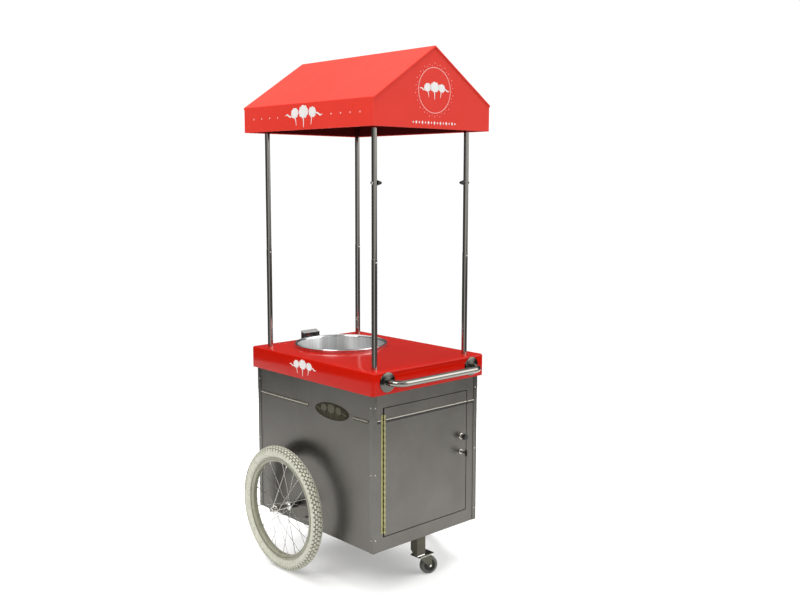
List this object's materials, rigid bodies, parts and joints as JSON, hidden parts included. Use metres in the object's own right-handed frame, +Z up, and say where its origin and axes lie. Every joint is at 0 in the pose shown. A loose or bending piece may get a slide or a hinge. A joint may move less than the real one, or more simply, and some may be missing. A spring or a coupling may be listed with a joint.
{
  "type": "cotton candy cart",
  "caption": "Steel cabinet on two spoked wheels and a swivel caster, with a moulded top holding a spinning-head bowl, a push handle, four posts and a gabled canopy.",
  "frame": {"origin": "middle of the whole cart's footprint, on the floor", "axes": "+Z up, -Y towards the door and push handle, +X towards the wheel at the door knob's side"},
  "size_m": [0.835, 0.8751, 2.071],
  "materials": {
    "red_moulding": "glossy moulded glass-fibre",
    "red_canopy": "satin red",
    "stainless": "brushed",
    "stainless_trim": "satin",
    "bright_trim": "polished",
    "dark_badge": "satin",
    "polished_tube": "polished",
    "spun_bowl": "spun",
    "head_metal": "satin",
    "plated_steel": "zinc plated",
    "hub_metal": "bright",
    "brass_hinge": "satin",
    "black_knob": "matte",
    "black_panel": "satin",
    "black_bush": "matte",
    "red_rocker": "glossy",
    "ivory_tyre": "matte",
    "ivory_rim": "semi-gloss",
    "caster_tyre": "matte",
    "painted_leg": "satin",
    "motor_case": "satin",
    "heater_coil": "heat tinted",
    "ply_frame": "sealed ply",
    "ply_red": "painted dark red"
  },
  "bodies": {
    "cart": {"worktop": "red_moulding", "canopy": "red_canopy", "side_panel_left": "stainless", "side_panel_right": "stainless", "end_panel": "stainless", "door_frame": "stainless", "floor_pan": "stainless", "control_hood": "stainless", "corner_trim_front_left": "stainless_trim", "corner_trim_front_right": "stainless_trim", "corner_trim_rear_left": "stainless_trim", "corner_trim_rear_right": "stainless_trim", "side_bead_front_left": "bright_trim", "side_bead_front_right": "bright_trim", "side_bead_rear_left": "bright_trim", "side_bead_rear_right": "bright_trim", "side_emblem_left": "dark_badge", "side_emblem_right": "dark_badge", "post_front_left": "polished_tube", "post_front_right": "polished_tube", "post_rear_left": "polished_tube", "post_rear_right": "polished_tube", "push_handle": "polished_tube", "bowl": "spun_bowl", "caster_plate": "plated_steel", "cross_bolt_left": "plated_steel", "cross_bolt_right": "plated_steel", "motor_bridge": "plated_steel", "axle": "hub_metal", "hinge_leaf_frame": "brass_hinge", "hinge_pin": "brass_hinge", "control_panel": "black_panel", "axle_spacer_left": "black_bush", "axle_spacer_right": "black_bush", "caster_leg": "painted_leg", "motor": "motor_case", "worktop_frame": "ply_frame", "canopy_frame": "ply_red"},
    "wheel_left": {"tyre_left": "ivory_tyre", "rim_left": "ivory_rim", "hub_spokes_left": "hub_metal"},
    "wheel_right": {"tyre_right": "ivory_tyre", "rim_right": "ivory_rim", "hub_spokes_right": "hub_metal"},
    "caster_swivel": {"caster_fork": "plated_steel"},
    "caster_roller": {"caster_wheel": "caster_tyre"},
    "door": {"door_panel": "stainless", "door_strip": "bright_trim", "hinge_leaf_door": "brass_hinge", "lock_body": "plated_steel"},
    "door_latch": {"door_knob": "black_knob"},
    "door_lock": {"lock_plug": "plated_steel"},
    "spinner": {"spinner_shaft": "head_metal", "spinner_head": "head_metal", "heater_ring": "heater_coil"},
    "power_rocker": {"rocker_switch": "red_rocker"},
    "heat_control": {"heat_dial": "black_knob"},
    "bolt_knob_l": {"bolt_knob_left": "black_knob"},
    "bolt_knob_r": {"bolt_knob_right": "black_knob"}
  },
  "joints": [
    {"name": "wheel_left_spin", "type": "hinge", "parent": "cart", "child": "wheel_left", "pos_m": [-0.355, 0.13395, 0.254], "axis": [1, 0, 0], "continuous": true},
    {"name": "wheel_right_spin", "type": "hinge", "parent": "cart", "child": "wheel_right", "pos_m": [0.355, 0.13395, 0.254], "axis": [1, 0, 0], "continuous": true},
    {"name": "caster_swivel_turn", "type": "hinge", "parent": "cart", "child": "caster_swivel", "pos_m": [0.016, -0.29705, 0.0767], "axis": [0, 0, 1], "continuous": true},
    {"name": "caster_roller_spin", "type": "hinge", "parent": "caster_swivel", "child": "caster_roller", "pos_m": [0.04834, -0.30756, 0.0365], "axis": [0.309, 0.9511, 0], "continuous": true},
    {"name": "door_hinge", "type": "hinge", "parent": "cart", "child": "door", "pos_m": [-0.228, -0.34975, 0.4845], "axis": [0, 0, -1], "range_deg": [0, 165]},
    {"name": "door_latch_turn", "type": "hinge", "parent": "door", "child": "door_latch", "pos_m": [0.192, -0.34525, 0.55], "axis": [0, 1, 0], "range_deg": [0, 90]},
    {"name": "door_lock_turn", "type": "hinge", "parent": "door", "child": "door_lock", "pos_m": [0.188, -0.34525, 0.487], "axis": [0, 1, 0], "range_deg": [0, 90]},
    {"name": "spinner_spin", "type": "hinge", "parent": "cart", "child": "spinner", "pos_m": [0, 0.18245, 0.77], "axis": [0, 0, 1], "continuous": true},
    {"name": "power_rocker_tip", "type": "hinge", "parent": "cart", "child": "power_rocker", "pos_m": [-0.023, 0.38345, 0.8995], "axis": [1, 0, 0], "range_deg": [-14, 0]},
    {"name": "heat_control_turn", "type": "hinge", "parent": "cart", "child": "heat_control", "pos_m": [0.015, 0.38245, 0.8995], "axis": [0, 1, 0], "range_deg": [0, 270]},
    {"name": "bolt_knob_l_turn", "type": "hinge", "parent": "cart", "child": "bolt_knob_l", "pos_m": [-0.242, -0.30905, 1.568], "axis": [1, 0, 0], "range_deg": [0, 720]},
    {"name": "bolt_knob_r_turn", "type": "hinge", "parent": "cart", "child": "bolt_knob_r", "pos_m": [0.242, -0.30905, 1.568], "axis": [-1, 0, 0], "range_deg": [0, 720]}
  ]
}
